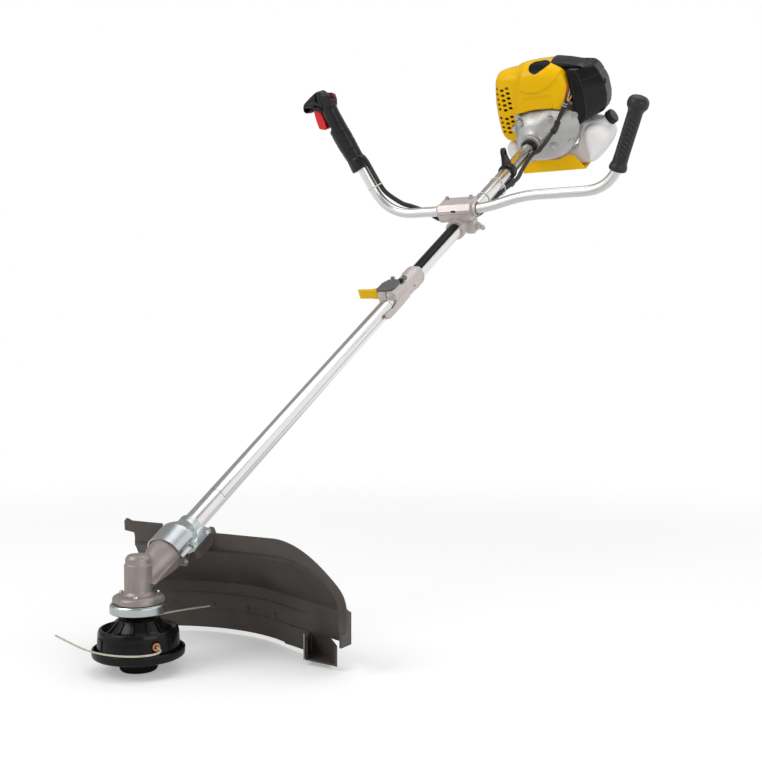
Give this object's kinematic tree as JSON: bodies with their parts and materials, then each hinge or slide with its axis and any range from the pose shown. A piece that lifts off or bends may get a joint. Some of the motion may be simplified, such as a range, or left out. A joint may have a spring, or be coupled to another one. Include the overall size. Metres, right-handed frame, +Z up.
{
  "type": "brush cutter",
  "caption": "Petrol brush cutter with bump-feed line head, bevel gear case, debris guard, split shaft, bull handlebar with throttle grip, and rear engine with clutch",
  "frame": {"origin": "centre of the ground face of the bump knob, on the spool axis", "axes": "+Z up along the spool axis, +Y level from the head toward the engine, +X to the operator's left"},
  "size_m": [0.7002, 1.5671, 1.0786],
  "materials": {
    "zinc": "satin",
    "case_cast": "matte",
    "steel": "satin",
    "gear_steel": "satin",
    "brass": "satin",
    "copper": "satin",
    "black_nylon": "matte",
    "guard_plastic": "matte",
    "line_nylon": "satin",
    "tube_aluminium": "polished",
    "silver_cast": "satin",
    "rubber": "matte",
    "yellow_plastic": "gloss",
    "black_gloss": "satin",
    "tank_plastic": "satin",
    "red_plastic": "gloss",
    "dark_red": "satin",
    "yellow_lever": "satin",
    "grey_plastic": "matte",
    "dark_steel": "matte",
    "loom_black": "matte",
    "white_tie": "satin"
  },
  "bodies": {
    "frame": {"gear_case": "case_cast", "gearcase_bearings": "steel", "guard": "guard_plastic", "guard_bracket": "zinc", "guard_bolts": "steel", "guard_skirt": "guard_plastic", "line_cutter": "steel", "lower_tube": "tube_aluminium", "upper_tube": "tube_aluminium", "shaft_bushings": "rubber", "shaft_coupler": "case_cast", "coupler_cover": "grey_plastic", "handle_clamp_base": "case_cast", "handle_clamp_cap": "case_cast", "handle_clamp_bolts": "steel", "harness_hanger": "black_nylon", "shaft_loom": "loom_black", "cable_ties": "white_tie", "clutch_housing": "silver_cast", "neck_ring": "rubber", "engine_block": "silver_cast", "muffler": "dark_steel", "spark_plug": "rubber", "top_cover": "yellow_plastic", "air_cleaner_cover": "black_gloss", "carburettor": "silver_cast", "fuel_tank": "tank_plastic", "tank_guard": "yellow_plastic", "recoil_housing": "black_nylon"},
    "head": {"output_shaft": "steel", "bevel_gear": "gear_steel", "holder_ring": "zinc", "spacer_washer": "brass", "spool_housing": "black_nylon", "spool_cover": "black_nylon", "line_eyelets": "copper", "line_spool": "black_nylon", "cutting_line_front": "line_nylon", "cutting_line_back": "line_nylon"},
    "knob": {"bump_knob": "black_nylon"},
    "drive_line": {"pinion_gear": "gear_steel", "lower_drive_shaft": "steel", "upper_drive_shaft": "steel", "clutch_drum": "steel"},
    "crank": {"crankshaft": "steel", "clutch_shoes": "dark_steel", "flywheel_fan": "silver_cast"},
    "bar": {"handlebar": "tube_aluminium", "bar_loom": "loom_black", "throttle_grip": "black_nylon", "right_grip": "rubber"},
    "trigger": {"throttle_trigger": "red_plastic"},
    "switch": {"stop_switch": "dark_red"},
    "lever": {"coupler_lever": "yellow_lever"},
    "pin": {"lock_pin": "black_nylon"},
    "pulley": {"starter_pulley": "black_nylon"},
    "starter": {"starter_handle": "black_nylon"},
    "choke": {"choke_lever": "black_nylon"},
    "cap_lift": {"cap_gasket": "rubber"},
    "cap": {"fuel_cap": "black_nylon"}
  },
  "joints": [
    {"name": "head_spin", "type": "hinge", "parent": "frame", "child": "head", "pos_m": [0, 0, 0.109], "axis": [0, 0, 1], "continuous": true},
    {"name": "drive_spin", "type": "hinge", "parent": "frame", "child": "drive_line", "pos_m": [0, 0, 0.109], "axis": [0, 0.866, 0.5], "continuous": true},
    {"name": "crank_spin", "type": "hinge", "parent": "frame", "child": "crank", "pos_m": [0, 1.38564, 0.909], "axis": [0, 0.866, 0.5], "continuous": true},
    {"name": "knob_bump", "type": "slide", "parent": "head", "child": "knob", "axis": [0, 0, 1], "range_m": [0, 0.006], "stiffness_N_per_m": 400, "springref_m": -0.003},
    {"name": "bar_tilt", "type": "hinge", "parent": "frame", "child": "bar", "pos_m": [0, 0.9312, 0.68012], "axis": [1, 0, 0], "range_deg": [-25, 25]},
    {"name": "trigger_squeeze", "type": "hinge", "parent": "bar", "child": "trigger", "pos_m": [-0.27131, 0.85597, 0.88681], "axis": [0, -0.9397, -0.342], "range_deg": [0, 10], "stiffness_Nm_per_rad": 0.3, "springref_deg": -11.46},
    {"name": "switch_slide", "type": "slide", "parent": "bar", "child": "switch", "axis": [-0.3843, -0.3158, 0.8675], "range_m": [0, 0.004]},
    {"name": "lever_swing", "type": "hinge", "parent": "frame", "child": "lever", "pos_m": [-0.027, 0.66121, 0.50576], "axis": [0, -0.5, 0.866], "range_deg": [0, 80]},
    {"name": "pin_lift", "type": "slide", "parent": "frame", "child": "pin", "axis": [0, -0.5, 0.866], "range_m": [0, 0.005], "stiffness_N_per_m": 300, "springref_m": -0.003},
    {"name": "starter_pull", "type": "slide", "parent": "frame", "child": "starter", "axis": [0, -0.5, 0.866], "range_m": [0, 0.7], "stiffness_N_per_m": 6, "springref_m": -0.5},
    {"name": "pulley_spin", "type": "hinge", "parent": "frame", "child": "pulley", "pos_m": [0, 1.44799, 0.945], "axis": [0, 0.866, 0.5], "range_deg": [-1440, 0]},
    {"name": "choke_swing", "type": "hinge", "parent": "frame", "child": "choke", "pos_m": [0.132, 1.39101, 0.98369], "axis": [0, 0.866, 0.5], "range_deg": [-20, 45]},
    {"name": "cap_turn", "type": "hinge", "parent": "cap_lift", "child": "cap", "pos_m": [0.151, 1.39153, 0.92279], "axis": [0.866, -0.25, 0.433], "range_deg": [0, 720]},
    {"name": "cap_rise", "type": "slide", "parent": "frame", "child": "cap_lift", "axis": [0.866, -0.25, 0.433], "range_m": [0, 0.006]}
  ],
  "couplings": [
    {"joint": "drive_spin", "follows": "head_spin", "ratio": -1.3571},
    {"joint": "pulley_spin", "follows": "starter_pull", "rad_per_m": -35.714},
    {"joint": "cap_turn", "follows": "cap_rise", "rad_per_m": 2094.4}
  ]
}
